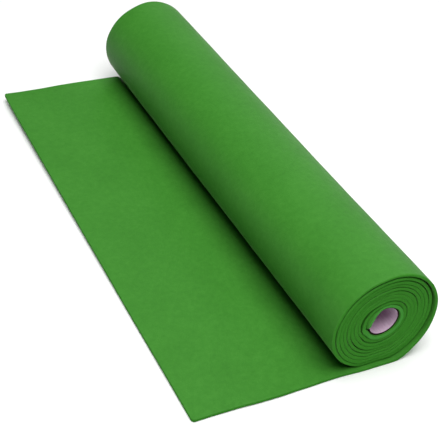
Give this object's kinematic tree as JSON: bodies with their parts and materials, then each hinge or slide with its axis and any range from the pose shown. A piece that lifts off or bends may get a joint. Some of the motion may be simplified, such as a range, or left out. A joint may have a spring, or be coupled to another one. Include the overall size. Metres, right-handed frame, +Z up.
{
  "type": "roll of felt",
  "caption": "Length of thick felt wound on an open cardboard tube, with the last stretch unrolled flat beside the roll.",
  "frame": {"origin": "on the surface that the roll lies on, under the middle of its box", "axes": "+Z up, +Y along the roll's axis, away from the end that shows, and the loose end lies towards -X"},
  "size_m": [0.2, 0.4538, 0.0894],
  "materials": {
    "felt": "matt pressed fibre, green",
    "tube_board": "matt grey-mauve spiral-wound board"
  },
  "bodies": {
    "root": {"felt": "felt", "core_tube": "tube_board"}
  },
  "joints": []
}
